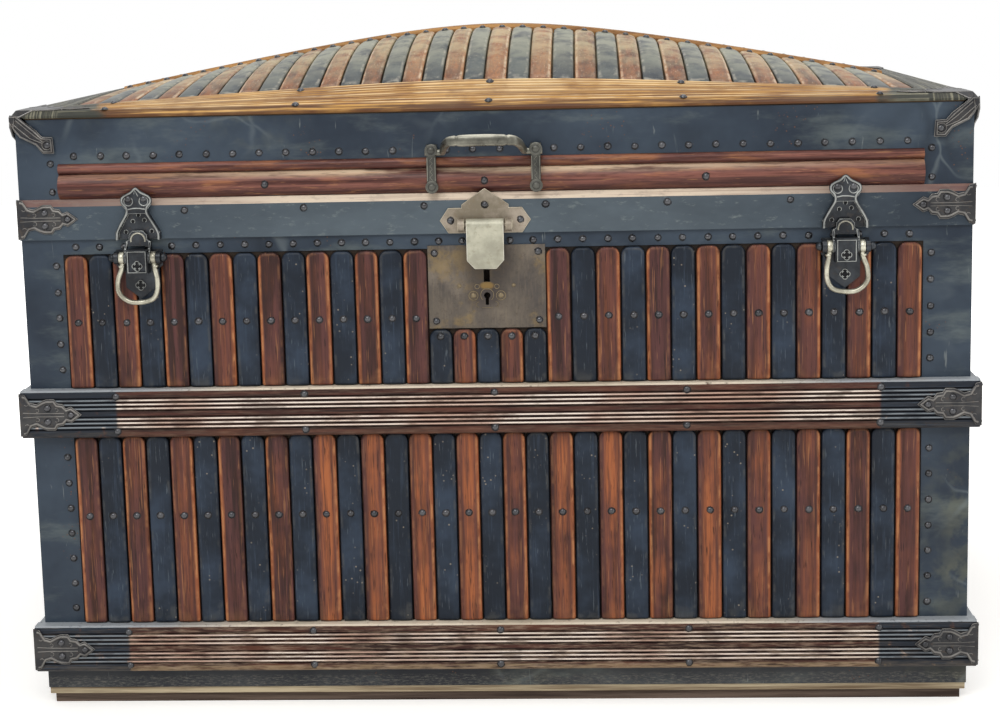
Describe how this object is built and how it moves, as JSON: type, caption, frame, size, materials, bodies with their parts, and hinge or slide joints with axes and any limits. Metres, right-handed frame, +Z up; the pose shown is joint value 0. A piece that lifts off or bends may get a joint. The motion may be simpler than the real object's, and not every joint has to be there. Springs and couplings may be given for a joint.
{
  "type": "dome top trunk",
  "caption": "Camelback trunk: slatted case with ribbed rails and iron corners, a hinged lid domed both ways, hasp lock, side latches, carrying handles and a lift-out tray.",
  "frame": {"origin": "on the floor under the middle of the case", "axes": "+X along the trunk's length to its right, the front with the lock faces -Y, +Z up"},
  "size_m": [0.936, 0.5791, 0.6482],
  "materials": {
    "brown_slat": "worn red-brown stain with orange rubbed patches",
    "black_slat": "worn black paint on wood",
    "rail_wood": "worn brown stain, pale ribs",
    "case_wood": "bare softwood",
    "skid_wood": "scuffed dark wood",
    "tray_wood": "bare pine",
    "black_sheet": "black enamel, scuffed",
    "black_paint": "black paint",
    "clamp_iron": "dark worn iron",
    "rivet_iron": "dull iron nail heads",
    "bail_steel": "bare steel, rubbed bright",
    "hasp_zinc": "dull zinc grey",
    "aged_brass": "stained brass plate",
    "lock_iron": "plain iron",
    "hinge_iron": "black iron",
    "handle_leather": "old brown leather",
    "paper_lining": "aged printed paper",
    "pull_tape": "cotton tape"
  },
  "bodies": {
    "case": {"bottom_board": "case_wood", "front_board": "case_wood", "back_board": "case_wood", "end_boards": "case_wood", "floor_skids": "skid_wood", "plinth_bands": "black_sheet", "bottom_rails": "rail_wood", "mid_rails": "rail_wood", "body_corner_bindings": "black_sheet", "body_top_bindings": "black_sheet", "front_slats_brown": "brown_slat", "front_slats_black": "black_slat", "end_slats_brown": "brown_slat", "end_slats_black": "black_slat", "rail_clamps": "clamp_iron", "body_rivets": "rivet_iron", "lock_plate": "aged_brass", "lock_case": "lock_iron", "latch_bases": "clamp_iron", "latch_screws": "lock_iron", "hinge_body_leaves": "hinge_iron", "hinge_pins": "lock_iron", "side_handle_loops": "hinge_iron", "tray_runners": "case_wood", "body_lining": "paper_lining"},
    "lid": {"lid_front_board": "case_wood", "lid_back_board": "case_wood", "lid_end_boards": "case_wood", "dome_shell": "case_wood", "lid_lining": "paper_lining", "lid_mouldings": "rail_wood", "lid_metal_bands": "black_sheet", "lid_valances": "black_paint", "lid_corner_bindings": "black_sheet", "lid_corner_clamps": "clamp_iron", "top_corner_caps": "clamp_iron", "top_rails": "rail_wood", "ridge_rail": "rail_wood", "dome_slats_brown": "brown_slat", "dome_slats_black": "black_slat", "lid_rivets": "rivet_iron", "hasp_plate": "hasp_zinc", "latch_keepers": "clamp_iron", "handle_posts": "clamp_iron", "hinge_lid_leaves": "hinge_iron"},
    "hasp flap": {"hasp": "hasp_zinc"},
    "lifting handle": {"lid_handle": "bail_steel"},
    "left latch lever": {"latch_lever_left": "clamp_iron"},
    "right latch lever": {"latch_lever_right": "clamp_iron"},
    "left latch bail": {"latch_bail_left": "bail_steel"},
    "right latch bail": {"latch_bail_right": "bail_steel"},
    "left side handle": {"left_handle_grip": "handle_leather", "left_handle_pins": "lock_iron"},
    "right side handle": {"right_handle_grip": "handle_leather", "right_handle_pins": "lock_iron"},
    "tray": {"tray_bottom": "tray_wood", "tray_walls": "tray_wood", "tray_dividers": "tray_wood", "tray_pulls": "pull_tape"},
    "lock bolt": {"lock_bolt": "lock_iron"}
  },
  "joints": [
    {"name": "lid_hinge", "type": "hinge", "parent": "case", "child": "lid", "pos_m": [0, 0.268, 0.4592], "axis": [-1, 0, 0], "range_deg": [0, 100]},
    {"name": "hasp_hinge", "type": "hinge", "parent": "lid", "child": "hasp flap", "pos_m": [-0.0053, -0.2737, 0.468], "axis": [-1, 0, 0], "range_deg": [0, 150]},
    {"name": "lifting_handle_hinge", "type": "hinge", "parent": "lid", "child": "lifting handle", "pos_m": [-0.0053, -0.271, 0.536], "axis": [1, 0, 0], "range_deg": [-60, 100]},
    {"name": "left_latch_lever_hinge", "type": "hinge", "parent": "case", "child": "left latch lever", "pos_m": [-0.3315, -0.2765, 0.443], "axis": [1, 0, 0], "range_deg": [0, 100]},
    {"name": "right_latch_lever_hinge", "type": "hinge", "parent": "case", "child": "right latch lever", "pos_m": [0.327, -0.2765, 0.443], "axis": [1, 0, 0], "range_deg": [0, 100]},
    {"name": "left_latch_bail_hinge", "type": "hinge", "parent": "case", "child": "left latch bail", "pos_m": [-0.3315, -0.2765, 0.443], "axis": [-1, 0, 0], "range_deg": [0, 80]},
    {"name": "right_latch_bail_hinge", "type": "hinge", "parent": "case", "child": "right latch bail", "pos_m": [0.327, -0.2765, 0.443], "axis": [-1, 0, 0], "range_deg": [0, 80]},
    {"name": "left_side_handle_hinge", "type": "hinge", "parent": "case", "child": "left side handle", "pos_m": [-0.46, 0, 0.404], "axis": [0, 1, 0], "range_deg": [0, 95]},
    {"name": "right_side_handle_hinge", "type": "hinge", "parent": "case", "child": "right side handle", "pos_m": [0.46, 0, 0.404], "axis": [0, -1, 0], "range_deg": [0, 95]},
    {"name": "tray_lift", "type": "slide", "parent": "case", "child": "tray", "axis": [0, 0, 1], "range_m": [0, 0.09]},
    {"name": "lock_bolt_slide", "type": "slide", "parent": "case", "child": "lock bolt", "axis": [1, 0, 0], "range_m": [0, 0.016]}
  ]
}
